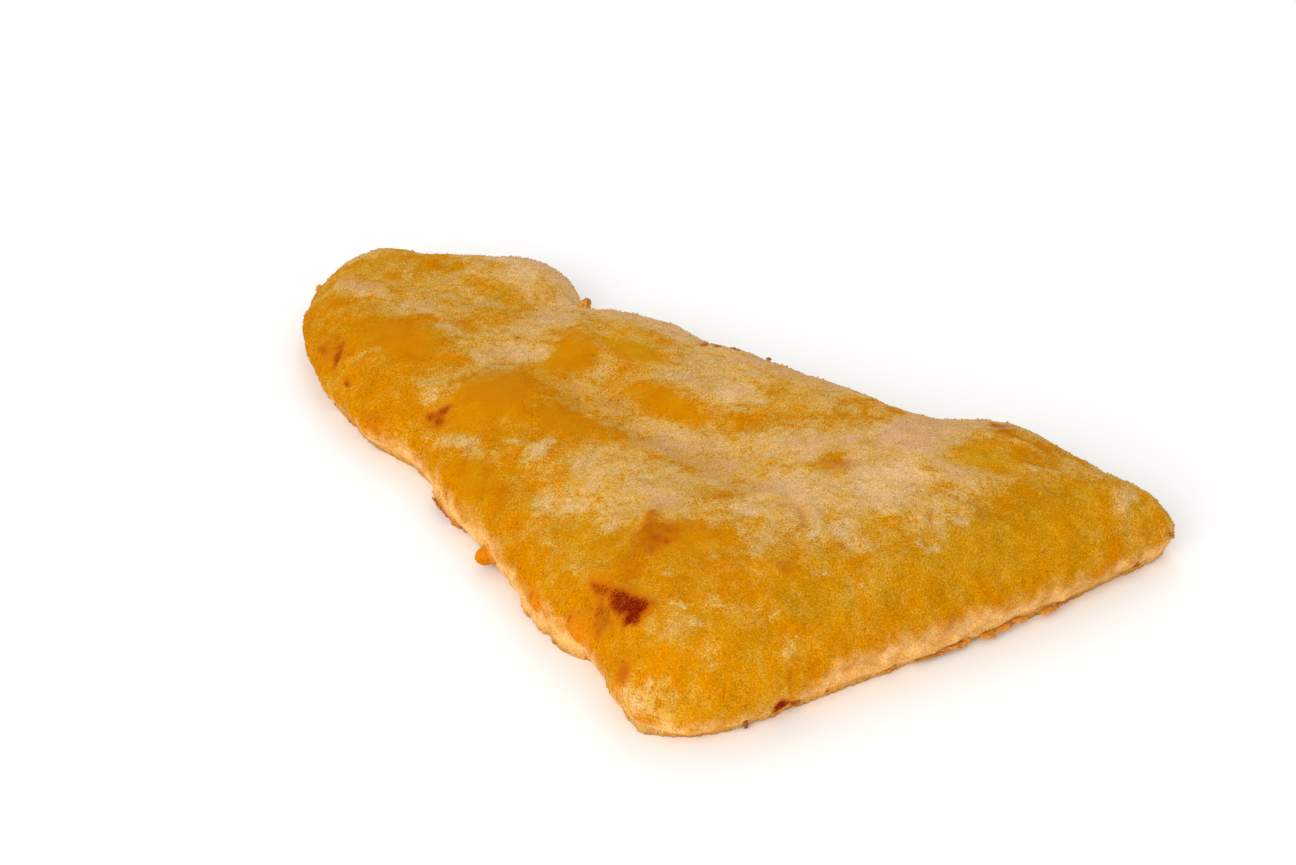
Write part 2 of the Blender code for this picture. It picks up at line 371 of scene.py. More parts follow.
# Where fat took the flour off and left the crust golden
GOLDEN = (
    ("back mound stem", -24, 19, 4.5, 9, 8, 1.0),
    ("back mound arm", -14, 26, 10, 5, -4, 1.0),
    ("back mound top", -17, 34, 9, 4.5, 0, 0.72),
    ("back mound right", -10, 21, 5, 5, 0, 0.8),
    ("middle mound", 2, 13, 11, 4, -8, 1.0),
    ("middle mound end", 18, 14, 5, 4, 0, 0.75),
    ("back patch", 24, 22, 8, 5, 25, 0.6),
    ("back spot", 19, 28, 7, 4, -15, 0.75),
    ("back spot far", 33, 33, 3.5, 3, 0, 0.7),
    ("back drop", 34, 24, 4, 7, 20, 0.55),
    ("rim strip", 40.4, 33.6, 1.3, 3.2, 50, 0.8),
    ("loin brown patch", 42.5, 8, 4.2, 5, 20, 0.85),
    ("loin patch", 32, 4, 5, 3, 15, 0.6),
    ("near patch", 29, -10, 6, 3.5, -10, 0.72),
    ("plateau front", 60, -5, 7, 4.5, -6, 0.7),
    ("plateau front left", 52, -7, 3, 3, 0, 0.5),
    ("near spot one", 11, -17, 3, 4, 0, 0.6),
    ("near spot two", 0, -17, 4, 2.5, 0, 0.85),
    ("near spot three", -3.5, -11.5, 3, 3, 0, 0.7),
    ("flank patch", -26, -3, 9, 10, 0, 1.0),
    ("flank patch end", -8, -2, 9, 4.5, -12, 0.95),
    ("tail front", -57, 6, 15, 8, -8, 1.0),
    ("tail front end", -76, 4, 9, 4, -28, 1.0),
    ("tail flank", -48, -8, 18, 5, -12, 0.9),
    ("tail spot one", -72, 35, 9, 3.5, 34, 0.75),
    ("tail spot two", -82, 26, 4, 3.5, 0, 0.65),
    ("tail spot three", -51, 33, 4, 4, 0, 0.7),
    ("tail spot four", -60, 34, 5, 3, 10, 0.7),
    ("tail middle", -73, 26, 10, 4.5, 10, 0.6),
    ("tail spot six", -50, 27, 5, 3, 20, 0.5),
    ("tail spot five", -48, 42, 5, 2.4, -20, 0.35),
    ("tail patch", -46, 20, 7, 5, -28, 0.55),
    ("tail rim", -77, 13, 8, 2.5, -4, 0.5),
    ("tail back edge", -76, 36, 11, 3.6, 40, 0.9),
    ("tail back edge end", -63, 41, 5, 2.4, 10, 0.7),
    ("loin front", 34, -31, 13, 12, 0, 1.0),
    ("loin front right", 57, -24, 10, 9, 0, 0.9),
    ("corner patch", 65, 29, 6, 6, 30, 0.85),
    ("corner patch back", 67, 38, 8, 7, 15, 0.95),
    ("right slope", 79, 22, 6, 20, -18, 0.95),
    ("right slope near", 71, -6, 6, 18, -20, 0.9),
    ("tip", 91, 40, 4, 6, -15, 0.95),
    ("back flank", -22, 49, 10, 4, 0, 0.75),
    ("back flank middle", 12, 51, 8, 4, 0, 0.65),
    ("back flank right", 38, 50, 9, 4, 0, 0.7),
    ("corner flank", 74, 54, 9, 3, 0, 0.7),
    ("tail lobe back", -70, 56, 9, 4, 20, 0.7),
)

# Where the crust is soaked, smooth and greasy
OILY = (
    ("near corner", 46, -50, 9, 6, 0, 0.2),
    ("back mound", -24, 19, 5, 8, 8, 0.9),
    ("back mound arm", -14, 25, 7, 3, 0, 0.8),
    ("middle mound", 2, 13, 9, 3.5, -8, 0.8),
    ("flank mound", -27, -2, 8, 9, 0, 1.0),
    ("flank end", -10, -2, 7, 3.5, -10, 0.8),
    ("tail front", -57, 5, 11, 5, -12, 0.9),
    ("belly edge", -15, -22, 8, 3.5, -24, 0.6),
    ("loin front", 36, -26, 6, 5, -40, 0.5),
)

# Where the dry flour toasted rosy
ROSY = (
    ("tail field", -64, 26, 28, 12, 10, 0.4),
    # back edge: rosy flour, with a painted sheen of the light from behind
    ("back edge", 0, 52, 100, 17, 0, 0.35),
    ("back edge middle", 18, 42, 20, 12, -6, 0.6),
    ("crease", -14, 8.5, 17, 4, -10, 1.0),
    ("crease end", 4, 3.5, 9, 3.5, -10, 0.9),
    ("loin crease", 20, 1.5, 11, 5, -12, 1.0),
    ("loin crease end", 33, -3.5, 7, 3, -14, 0.9),
    ("crest", 49, 29, 7, 13, -8, 0.65),
    ("plateau arm", 40, 16, 11, 4, 24, 0.6),
    ("plateau", 54, 6, 6, 6, 0, 0.2),
    ("plateau near lobe", 44, -8, 7, 4, -20, 0.6),
    ("corner", 61, 20, 7, 3, 5, 0.6),
    ("tail streak", -79, 20, 9, 2.5, -4, 0.9),
    ("near slope", 23, -17, 5, 7, 0, 0.7),
    ("tail dab", -67, 12, 4, 2.5, 0, 0.8),
    ("waist", -36, 12, 9, 3, 0, 0.6),
)

# Darker patches: some fried a little deeper, some painted shade along the creases and behind the
# folds
DEEPER_AND_SHADED = (
    # belly: painted shade in the belly creases
    ("belly", -14, -22, 16, 4, -24, 0.5),
    ("tail", -66, 16, 30, 20, 0, 0.35),
    ("tail end", -93, 24, 3, 5, 0, 0.8),
    ("waist", -32, 8, 5, 6, 0, 0.8),
    ("middle", -13, 6, 18, 14, -10, 0.32),
    # crease and crease end: painted shade along the long crease
    ("crease", 14, 2, 22, 5, -12, 0.3),
    ("crease end", 27, -8, 6, 6, 0, 0.6),
    ("loin brown", 43, 8, 4.5, 4, 20, 0.6),
    ("right slope", 72, 6, 6, 20, -20, 0.45),
    ("corner", 76, 29, 6, 10, 0, 0.8),
    # behind the crescent: painted shadow of the fold beside the tip crescent
    ("behind the crescent", 79.5, 35.0, 3.0, 5.0, 0, 1.1),
    ("front middle", 60, -28, 5, 3, 0, 0.7),
    ("front low", 63, -36, 2, 2, 0, 0.4),
    ("front right", 70.5, -6.5, 5, 4, 0, 0.4),
    ("front left", 41, -38, 3, 4, 20, 0.5),
    ("corner back", 64, 40, 12, 6, 0, 0.7),
    ("near right", 57, -18, 5, 7, 0, 0.6),
    ("smear", 29, -30, 4, 9, 10, 0.5),
    ("back rim", 39, 37, 4, 5, 0, 0.5),
    ("middle mound", -1, 13, 4, 5, 0, 0.7),
    ("back mound", -23, 16, 3, 6, 0, 0.6),
)

# Lighter patches: some fried a little lighter, and painted light on the tip, where the lamps leave
# its side dim
LIGHTER_AND_LIT = (
    ("near field", 8, -20, 14, 9, -12, 0.7),
    ("back field", 10, 29, 5, 8, 0, 0.6),
    ("plateau", 53, 8, 6, 11, 0, 0.2),
    ("near corner", 48, -47, 11, 10, 0, 0.45),
    ("flank", -38, -6, 5, 5, 0, 0.4),
    ("over the cut", 64, -32, 5, 12, -22, 0.9),
    ("front cream", 48.8, -26.6, 4, 3, 0, 0.7),
    ("front cream low", 53.9, -44.5, 5, 3, 10, 0.7),
    ("front cream right", 60.5, -34.6, 4, 2.4, 30, 0.6),
    # tip: painted light, lifting the side that the lamps leave dim
    ("tip", 92, 41, 5, 7, 0, 0.7),
)

# Yellower patches, where the crust is thin over the fish
YELLOW = (
    ("right slope", 76, 14, 11, 34, -20, 0.5),
    ("corner", 63, 28, 5, 5, 0, 0.6),
    ("back mound", -17, 29, 9, 6, 0, 0.6),
    ("near dab", 11, -17, 7, 6, 0, 0.5),
    ("back patch", 20, 27, 7, 6, 0, 0.6),
    ("plateau", 50, -1, 12, 12, 0, 0.4),
    ("near corner", 52, -40, 11, 11, 0, 0.28),
    ("front right", 60, -22, 8, 10, 0, 0.45),
    ("near field", 18, -29, 8, 6, 0, 0.5),
    ("tail", -82, 28, 6, 5, 0, 0.6),
    ("tail field", -64, 27, 22, 12, 0, 0.4),
)

# Scorched spots with a sharp edge
SCORCHED = (
    ("dark spot head", 27.2, -40.9, 4.4, 1.2, -14, 0.72),
    ("dark spot middle", 31.8, -42.2, 4.4, 1.7, -18, 0.88),
    ("dark spot", 35.8, -43.7, 4.0, 2.5, -10, 1.05),
    ("dark spot foot", 36.4, -45.2, 2.6, 1.9, -30, 1.05),
    ("flank scorch", -33.3, -9.8, 1.8, 1.5, 40, 0.76),
    ("flank scorch left", -35.2, -11.0, 1.7, 1.1, 0, 0.66),
    ("flank scorch foot", -32.8, -11.6, 2.0, 1.5, -30, 0.7),
    ("tail scorch", -66.2, -2.6, 2.6, 1.1, -60, 0.72),
    ("tail scorch top", -67.6, -0.2, 1.8, 1.2, -50, 0.58),
    ("tail fleck", -59.1, -7.5, 1.1, 0.5, -45, 0.66),
)

# Softer browning
BROWNED = (
    ("halo of the dark spot", 31.0, -42.8, 8.5, 3.8, -16, 0.46),
    ("halo below", 30.0, -44.2, 5.4, 2.6, -22, 0.46),
    ("flank scorch halo", -33.6, -11.2, 3.6, 3.0, -12, 0.36),
    ("tail scorch left", -72.6, 0.0, 2.2, 1.2, -30, 0.5),
    ("tail scorch halo", -70.0, -0.4, 6.5, 3.0, -26, 0.36),
    ("tail flank glow", -47.0, -13.4, 4.5, 1.4, -4, 0.36),
    ("orange smear", 29.4, -28.2, 4.6, 5.2, 20, 0.46),
    ("orange smear core", 31.0, -28.8, 2.4, 2.4, 20, 0.66),
    ("orange smear foot", 30.6, -37.0, 2.5, 4.0, 0, 0.34),
    ("orange mark right", 53.4, -23.2, 2.6, 2.0, 20, 0.3),
    ("orange mark low", 62.6, -36.4, 1.6, 1.2, 0, 0.3),
    ("orange mark by the slope", 76.5, -6.5, 2.0, 1.6, 60, 0.3),
    ("orange mark belly", -6.5, -25.5, 2.2, 3.0, 20, 0.26),
    ("orange mark flank", -21.5, -13.0, 2.0, 4.5, 20, 0.2),
    ("orange mark belly end", 0.5, -30.0, 2.6, 1.6, -30, 0.24),
    ("loin brown", 43.4, 8.2, 4.6, 4.4, 40, 0.3),
    ("near brown", 30.5, -11.0, 3.6, 1.6, -10, 0.24),
    ("corner red", 57.5, 41.0, 2.6, 2.0, 0, 0.46),
    ("corner red rim", 54.5, 47.0, 3.0, 1.6, 30, 0.46),
    ("rim strip", 41.0, 33.4, 0.9, 2.4, 50, 0.22),
    ("right brown", 71.0, 12.0, 1.6, 4.0, 10, 0.2),
    ("tip brown", 79.0, 26.0, 2.2, 5.0, 16, 0.14),
    ("crease tan", -13.0, 9.0, 15.0, 2.6, -12, 0.2),
    ("crease tan end", 14.0, 1.5, 12.0, 2.6, -10, 0.15),
    ("mound foot", -20.0, 17.0, 3.0, 4.0, 30, 0.14),
    ("flank gold", -26.0, -2.0, 6.0, 7.0, 0, 0.12),
    ("tail gold", -58.0, 5.0, 9.0, 4.0, -8, 0.12),
    ("corner back gold", 68.0, 38.0, 5.0, 4.0, 15, 0.16),
    ("back ridge", 39.5, 34.2, 2.2, 0.7, -10, 0.26),
)

# Orange patches low on the rim, where the fat pooled: name, x, y, z, radius, strength, in mm
AMBER_SPOTS = (
    ("blister", 13.4, -41.6, 6.2, 1.7, 0.8),
    ("beside the blister", 16.0, -42.7, 5.6, 2.0, 0.7),
    ("over the lobe", 23.6, -44.8, 6.9, 2.2, 0.75),
    ("over the lobe end", 27.0, -45.9, 7.4, 2.0, 0.65),
    ("over the lobe top", 26.0, -44.9, 9.4, 1.6, 0.5),
    ("belly notch", 40.2, -53.2, 9.4, 2.4, 0.6),
    ("belly corner", 40.2, -54.2, 6.4, 1.8, 0.6),
    ("corner slip", 46.0, -56.3, 4.4, 2.0, 0.5),
    ("flank lip", -24.0, -23.2, 2.4, 2.6, 0.5),
)

# Brown spots low on the rim, and painted shade under the blister and under the ledge: the same
# columns
RIM_SPOTS = (
    ("blister ring", 11.6, -41.6, 7.2, 1.1, 0.5),
    # under the blister: painted shade
    ("under the blister", 12.8, -41.8, 4.6, 1.0, 0.5),
    ("lump edge", 22.6, -44.6, 8.2, 1.1, 0.4),
    ("belly notch", 40.4, -53.2, 9.6, 2.2, 0.56),
    ("flank lip", -23.0, -23.9, 1.4, 2.6, 0.46),
    ("cut end scorch", 61.9, -38.4, 3.3, 1.8, 1.0),
    ("cut end scorch end", 62.7, -36.4, 2.8, 1.2, 0.98),
    # under the ledge: painted shade in the groove under it
    ("under the ledge", 67.6, -26.0, 5.4, 1.1, 0.42),
    ("tip", 91.4, 34.2, 2.6, 0.7, 0.95),
    ("corner red", 60.5, 39.0, 17.6, 2.0, 0.4),
    ("notch", -35.0, 36.8, 12.0, 1.2, 0.42),
    ("tail end", -91.0, 20.0, 7.6, 1.4, 0.34),
    ("back fleck", -6.3, 37.9, 13.6, 1.0, 0.55),
)

# How high the pale rim reaches along x, in mm
RIM_PLACES = (-94.0, -72.0, -56.0, -42.0, -15.0, 30.0, 42.0)
RIM_HEIGHTS = (0.8, 1.2, 3.4, 4.8, 6.4, 5.4, 3.2)

# The side wall at the cut end, from the belly corner to the tip, how far in from it counts as
# wall, and the height of the ledge over it at shares of the way along, in mm
CUT_START = Vector((58.0, -46.5, 0.0))
CUT_END = Vector((93.0, 37.0, 0.0))
WALL_REACH = 7.0
WALL_FADE = 3.0
WALL_BLEND = 2.3
LEDGE_SHARES = (0.0, 0.12, 0.24, 0.5, 0.65, 1.0)
LEDGE_HEIGHTS = (2.2, 3.4, 7.4, 7.8, 6.4, 5.0)

# Shares of the way along where the wall and the ledge's relief begin, and where that ends
CUT_BEGINS = (-0.06, 0.1)
LEDGE_BEGINS = (0.05, 0.25)
LEDGE_ENDS = (0.95, 0.5)

# The lip along the ledge and the groove under it: place over the ledge, spread and height, in mm
LEDGE_LIP = (0.3, 1.2, 0.45)
LEDGE_GROOVE = (-2.2, 1.6, -0.55)

# The foot of the cut end: painted light standing in for the light it catches from the table, lifting
# the shade under it: how much lighter, up to what height
FOOT_LIGHTER = 3.0
FOOT_HEIGHT = 3.0
FOOT_FULL_HEIGHT = 0.4

# What the coating's vertices store for its material
CRUST_MASKS = ("veil", "patchy", "dry", "rose", "yellow", "brown", "wall", "amber", "tone")


def smoothstep(values, low, high):
    """Runs from 0 where values are low to 1 where they are high, with soft ends."""
    share = np.clip((values - low) / (high - low), 0.0, 1.0)
    return share * share * (3.0 - 2.0 * share)


def rolling_noise(places, size, seed):
    """Smooth noise from -1 to 1 at places in mm, with bumps of about the given size.

    Each seed reads the noise somewhere else.
    """
    shift = Vector((seed * 17.3, seed * 5.1, seed * 9.7))
    return np.array([noise.noise(Vector(place) / size + shift) for place in places])


def turned(places, x, y, turn):
    """How far along and across a shape that lies turned at x, y each place is, in mm."""
    angle = math.radians(turn)
    dx = places[:, 0] - x
    dy = places[:, 1] - y
    along = dx * math.cos(angle) + dy * math.sin(angle)
    across = dy * math.cos(angle) - dx * math.sin(angle)
    return along, across


def zone(places, patches, edge=PATCH_EDGE):
    """Strength of the patches at each place: full inside a patch, fading out round its edge.

    A higher edge gives a sharper one.
    """
    strength = np.zeros(len(places))
    for _, x, y, half_length, half_width, turn, full in patches:
        along, across = turned(places, x, y, turn)
        away = (along / half_length) ** 2 + (across / half_width) ** 2
        strength = np.maximum(strength, full * np.exp(-(away**edge)))
    return strength


def spots(places, marks):
    """Strength of the round spots at each place in space."""
    strength = np.zeros(len(places))
    for _, x, y, z, radius, full in marks:
        away = np.linalg.norm(places - np.array((x, y, z)), axis=1) / radius
        strength = np.maximum(strength, full * np.exp(-(away**3)))
    return strength


def applied(obj, name):
    """The object's mesh with its modifiers applied, and the object taken away."""
    graph = bpy.context.evaluated_depsgraph_get()
    mesh = bpy.data.meshes.new_from_object(obj.evaluated_get(graph), depsgraph=graph)
    mesh.name = name
    bpy.data.objects.remove(obj)
    return mesh


def skin_mesh():
    """The fillet's own form with the beads grown onto it, as one even skin."""
    bm = bmesh.new()
    bm.from_mesh(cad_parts["fillet"].data)
    bmesh.ops.remove_doubles(bm, verts=bm.verts, dist=MERGE_DISTANCE)
    for _, x, y, z, half_length, half_width, half_height, turn, _ in BEADS:
        shape = Matrix.LocRotScale(
            Vector((x, y, z)) * MM,
            Matrix.Rotation(math.radians(turn), 3, "Z"),
            Vector((half_length, half_width, half_height)) * MM,
        )
        bmesh.ops.create_icosphere(bm, subdivisions=3, radius=1.0, matrix=shape)
    mesh = bpy.data.meshes.new("form")
    bm.to_mesh(mesh)
    bm.free()
    form = bpy.data.objects.new("form", mesh)
    bpy.context.scene.collection.objects.link(form)
    rounding = form.modifiers.new("round the facets", "SUBSURF")
    rounding.levels = rounding.render_levels = 1
    even = form.modifiers.new("even faces", "REMESH")
    even.mode = "VOXEL"
    even.voxel_size = SKIN_MESH
    return applied(form, "skin")


def smooth_mesh(mesh, passes):
    bm = bmesh.new()
    bm.from_mesh(mesh)
    for _ in range(passes):
        bmesh.ops.smooth_vert(
            bm, verts=bm.verts, factor=0.5, use_axis_x=True, use_axis_y=True, use_axis_z=True
        )
    bm.to_mesh(mesh)
    bm.free()


def thin_underside(mesh):
    """Fewer and larger faces on the flat underside, where there is no fine relief.

    Low bumps go on it first, because faces on a bare plane would merge into long slivers.
    """
    flat = vertex_array(mesh, "normal")[:, 2] < FACING_DOWN
    co = vertex_array(mesh, "co") / MM
    bumps = rolling_noise(co[flat], UNDERSIDE_BUMP_SIZE, UNDERSIDE_SEED)
    co[flat, 2] += UNDERSIDE_BUMP * bumps
    mesh.vertices.foreach_set("co", (co * MM).astype(np.float32).ravel())
    mesh.update()
    skin = bpy.data.objects.new("skin", mesh)
    bpy.context.scene.collection.objects.link(skin)
    group = skin.vertex_groups.new(name="underside")
    group.add(np.flatnonzero(flat).tolist(), 1.0, "REPLACE")
    thinning = skin.modifiers.new("larger faces", "DECIMATE")
    thinning.vertex_group = group.name
    thinning.ratio = 1.0 - flat.mean() * (1.0 - UNDERSIDE_FACES_KEPT)
    return applied(skin, "coating")


def vertex_array(mesh, what):
    values = np.empty(len(mesh.vertices) * 3, np.float32)
    mesh.vertices.foreach_get(what, values)
    return values.reshape(-1, 3).astype(float)


def add_mask(mesh, name, values):
    mask = mesh.attributes.new(name, "FLOAT", "POINT")
    mask.data.foreach_set("value", values.astype(np.float32))


def from_cut(places):
    """How far in from the cut end each place is, in mm, and its share of the way along it."""
    line = CUT_END - CUT_START
    along = line.normalized()
    dx = places[:, 0] - CUT_START.x
    dy = places[:, 1] - CUT_START.y
    return along.x * dy - along.y * dx, (dx * along.x + dy * along.y) / line.length


def read_skin(mesh):
    """What the looks depend on at each of the skin's vertices, in mm.

    It holds the place and normal, the plan that patches and spots are drawn on, and the noise.
    """
    co = vertex_array(mesh, "co") / MM
    normal = vertex_array(mesh, "normal")
    drift = np.column_stack([rolling_noise(co, size, seed) for size, seed in DRIFT])
    feather = np.column_stack([rolling_noise(co, size, seed) for size, seed in FEATHER])
    return SimpleNamespace(
        co=co,
        normal=normal,
        height=co[:, 2],
        upward=smoothstep(normal[:, 2], *UPPER_SIDE),
        underside=smoothstep(normal[:, 2], *UNDERSIDE),
        plan=co[:, :2] + PATCH_DRIFT * drift + PATCH_FEATHER * feather,
        spot_plan=co[:, :2] + SPOT_DRIFT * drift + SPOT_FEATHER * feather,
        feather=feather,
        clouds=rolling_noise(co, *CLOUDS),
        clumps=rolling_noise(co, *CLUMPS),
        grit=rolling_noise(co, *GRIT),
    )


def broken_up(skin, clouds=0.0, clumps=0.0, grit=0.0):
    """The skin's three noises added up in these shares."""
    return clouds * skin.clouds + clumps * skin.clumps + grit * skin.grit


def relief_height(skin):
    """Height that the coating adds along its normal, in mm."""
    height = np.zeros(len(skin.co))
    for seed, (_, size, tall, oil_loss) in enumerate(RELIEF, start=1):
        height += tall * rolling_noise(skin.co, size, seed) * (1.0 - oil_loss * skin.oil)
    return height + DUST_THICKNESS * skin.dust


def folded(plan):
    """Height of the folds at each place, and the flour and the browning that go with them."""
    height, flour, browned = np.zeros((3, len(plan)))
    for _, x0, y0, x1, y1, half_width, tall, caught, browning in FOLDS:
        start = np.array((x0, y0))
        line = np.array((x1, y1)) - start
        share = np.clip((plan - start) @ line / (line @ line), 0.0, 1.0)
        away = np.linalg.norm(plan - start - share[:, None] * line, axis=1)
        fold = np.exp(-((away / half_width) ** 2))
        height += tall * fold
        flour = np.maximum(flour, caught * fold)
        browned = np.maximum(browned, browning * fold)
    return height, flour, browned


def dusting(skin, fold_flour):
    """How much dry flour lies at each place."""
    dusty = zone(skin.plan, DUSTY) * (1.0 - zone(skin.plan, GOLDEN))
    dabs = zone(skin.spot_plan + DAB_FEATHER * skin.feather, DABS)
    dabs *= 0.8 + broken_up(skin, grit=0.8)
    return np.maximum.reduce([dusty, dabs, fold_flour]) * skin.upward


def darkening(skin, fold_brown):
    """How browned each place is, from 0 to about 1 where it is scorched; painted shade under the
    blister and the ledge counts in too.
    """
    soft = zone(skin.spot_plan + BROWN_FEATHER * skin.feather, BROWNED)
    soft *= 1.0 + broken_up(skin, clumps=0.4, grit=0.5)
    scorched = zone(skin.spot_plan + SCORCH_GRIT * skin.grit[:, None], SCORCHED, SCORCH_EDGE)
    scorched *= 1.0 + broken_up(skin, clumps=0.2, grit=0.2)
    seen_from_above = np.maximum.reduce([soft, fold_brown, scorched])
    return np.maximum(seen_from_above * skin.upward, spots(skin.co, RIM_SPOTS))


def bead_cover(places):
    """How far each place belongs to a bead of batter, weighed by how amber the bead is."""
    cover = np.zeros(len(places))
    for _, x, y, z, half_length, half_width, half_height, turn, amber in BEADS:
        along, across = turned(places, x, y, turn)
        away = (along / half_length) ** 2 + (across / half_width) ** 2
        away += ((places[:, 2] - z) / half_height) ** 2
        cover = np.maximum(cover, amber * np.exp(-((away / BEAD_EDGE) ** 2)))
    return cover


def side_wall(skin):
    """How far each place belongs to the cut end and to the pale wall, and the ledge's relief."""
    inward, share = from_cut(skin.co)
    at_cut = smoothstep(inward, WALL_REACH, WALL_REACH - WALL_FADE)
    at_cut *= smoothstep(share, *CUT_BEGINS)
    rim = np.interp(skin.co[:, 0], RIM_PLACES, RIM_HEIGHTS)
    ledge = rim + at_cut * (np.interp(share, LEDGE_SHARES, LEDGE_HEIGHTS) - rim)
    ledge += broken_up(skin, clouds=0.8, clumps=1.1, grit=0.6)
    wall = smoothstep(skin.height, ledge + WALL_BLEND, ledge - WALL_BLEND)
    wall *= smoothstep(skin.normal[:, 2], *WALL_OVER_UNDERSIDE)
    wall *= smoothstep(skin.normal[:, 2], *WALL_UNDER_TOP)
    overhang = np.zeros(len(share))
    for above, spread, tall in (LEDGE_LIP, LEDGE_GROOVE):
        overhang += tall * np.exp(-(((skin.height - ledge - above) / spread) ** 2))
    overhang *= at_cut * smoothstep(share, *LEDGE_BEGINS) * smoothstep(share, *LEDGE_ENDS)
    return at_cut, wall, overhang


def raise_skin(mesh, skin, raised):
    """Moves the skin out along its normals, and sets its underside down on the table."""
    room = ROOM_AT_CROWN + ROOM_BELOW_CROWN * (skin.height.max() - skin.height)
    moved = skin.co + skin.normal * np.minimum(raised, room)[:, None]
    hollow = UNDERSIDE_HOLLOW * smoothstep(broken_up(skin, clouds=1.0, clumps=0.5), 0.0, 0.5)
    lies = (skin.underside > 0.5) & ((skin.bead < 0.5) | (skin.height < BEAD_SEAT))
    moved[:, 2] = np.where(lies, hollow, np.maximum(moved[:, 2], 0.0))
    moved[:, 2] += table_height / MM
    mesh.vertices.foreach_set("co", (moved * MM).astype(np.float32).ravel())


def store_masks(mesh, skin):
    """Stores on each vertex how much it has of each kind of coating, for the material."""
    # Flour: a veil that is patchiest where it is half thick and evened out by the fat
    dust = skin.dust + skin.underside * (0.3 + broken_up(skin, clouds=0.5))
    veil = np.clip(dust, 0.0, 1.0)
    patchy = (0.13 + 0.8 * veil * (1.25 - veil)) * (1.0 - 0.65 * skin.oil)
    veil = 0.98 * veil - 0.01 - 0.1 * skin.oil
    veil += patchy * broken_up(skin, clouds=0.5, clumps=0.75, grit=0.5)
    greasy = np.clip(np.maximum(skin.oil, 0.6 * skin.bead), 0.0, 1.0)

    # Colours of the flour, the gold, the browning, the wall and the amber
    rose = zone(skin.plan, ROSY) + broken_up(skin, clouds=0.2)
    yellow = zone(skin.plan, YELLOW) + 0.18 + 0.4 * skin.dust - 0.1 * skin.oil
    yellow += broken_up(skin, clouds=0.4, clumps=0.4)
    brown = skin.brown + 0.16 * skin.underside * (1.0 + skin.clouds)
    pale = 0.98 - 0.2 * skin.at_cut + broken_up(skin, clumps=0.45, grit=0.3)
    amber = np.maximum(1.4 * skin.bead, spots(skin.co, AMBER_SPOTS))

    # Light and dark patches: fried deeper and lighter, with painted shade in the creases and painted
    # light on the tip and on the foot of the cut end
    foot = skin.at_cut * smoothstep(skin.height, FOOT_HEIGHT, FOOT_FULL_HEIGHT)
    deeper = zone(skin.plan, DEEPER_AND_SHADED) - zone(skin.plan, LIGHTER_AND_LIT)
    # Painted light on the foot of the cut end, for the light from the table and against the shade
    # under the wall
    deeper -= FOOT_LIGHTER * foot * (1.0 - skin.underside)
    shade = rolling_noise(skin.co, *WIDE_SHADE) + 0.7 * rolling_noise(skin.co, *FINE_SHADE)

    add_mask(mesh, "veil", np.clip(veil, -0.5, 1.2))
    add_mask(mesh, "patchy", patchy)
    add_mask(mesh, "dry", 1.0 - 0.85 * greasy)
    add_mask(mesh, "rose", np.clip(rose, 0.0, 1.0))
    add_mask(mesh, "yellow", np.clip(yellow, 0.0, 1.0))
    add_mask(mesh, "brown", np.clip(brown, 0.0, 1.0))
    add_mask(mesh, "wall", np.clip(skin.wall * pale, 0.0, 1.0))
    add_mask(mesh, "amber", np.clip(amber, 0.0, 1.0))
    # The tone carries the light and dark patches, painted shade and painted light among them, and the
    # noise
    add_mask(mesh, "tone", 1.01 - 0.09 * deeper + (0.09 - 0.06 * skin.oil) * shade)


def coat(mesh):
    """Raises the coating's relief on the skin and stores where each kind of coating lies."""
    skin = read_skin(mesh)
    fold_height, fold_flour, fold_brown = folded(skin.spot_plan)
    skin.dust = dusting(skin, fold_flour)
    skin.oil = zone(skin.plan, OILY) * skin.upward
    skin.brown = darkening(skin, fold_brown)
    skin.bead = bead_cover(skin.co)
    skin.at_cut, skin.wall, overhang = side_wall(skin)
    raised = relief_height(skin) + fold_height * skin.upward + overhang
    raised -= SCORCH_DEPTH * smoothstep(skin.brown, *SCORCH_SINKS)
    raised *= (1.0 - 0.8 * skin.underside) * (1.0 - 0.9 * np.minimum(1.6 * skin.bead, 1.0))
    raise_skin(mesh, skin, raised)
    store_masks(mesh, skin)
    mesh.update()


